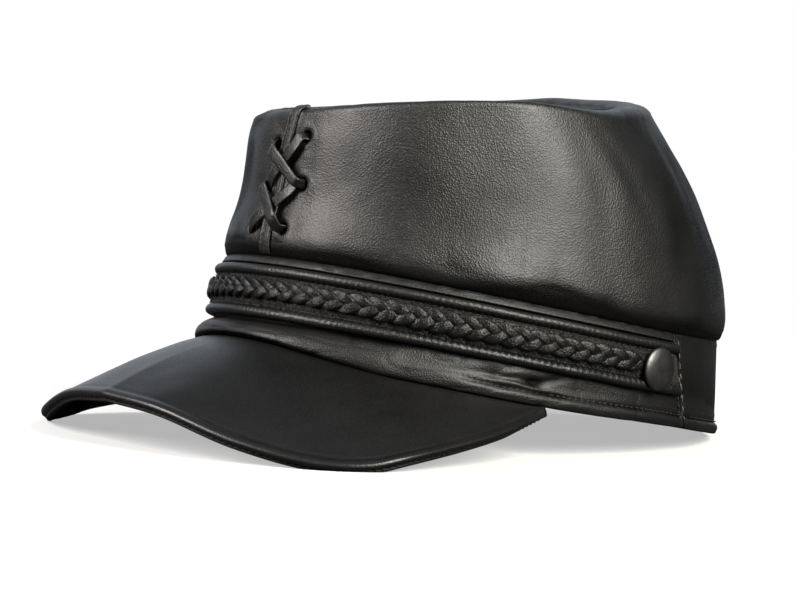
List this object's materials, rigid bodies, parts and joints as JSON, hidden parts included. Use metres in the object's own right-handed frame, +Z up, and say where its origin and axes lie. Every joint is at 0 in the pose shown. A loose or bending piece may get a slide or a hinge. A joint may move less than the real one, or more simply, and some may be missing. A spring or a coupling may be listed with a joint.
{
  "type": "leather cap",
  "caption": "Soft leather cap with a tall crown drawn in to a tilted top, a low band with a plaited strap and snaps, a laced front seam and a drooping peak.",
  "frame": {"origin": "middle of the cap's box, on the surface that it rests on", "axes": "+Z up, -Y towards the peak, +X towards the wearer's left"},
  "size_m": [0.196, 0.2676, 0.126],
  "materials": {
    "smooth_leather": "soft black leather, satin, fine grain",
    "peak_leather": "black leather drawn smooth over the peak, satin",
    "strap_leather": "black leather with rolled edges and a rough middle",
    "thong_leather": "flat black leather thongs, rubbed at the edges",
    "snap_metal": "dark satin metal"
  },
  "bodies": {
    "root": {"crown_side": "smooth_leather", "crown_top": "smooth_leather", "front_seam_strip": "smooth_leather", "lace_over": "thong_leather", "lace_under": "thong_leather", "band_front": "smooth_leather", "band_back": "smooth_leather", "strap": "strap_leather", "braid": "thong_leather", "peak_upper": "peak_leather", "peak_lining": "peak_leather", "snap_left": "snap_metal", "snap_right": "snap_metal"}
  },
  "joints": []
}
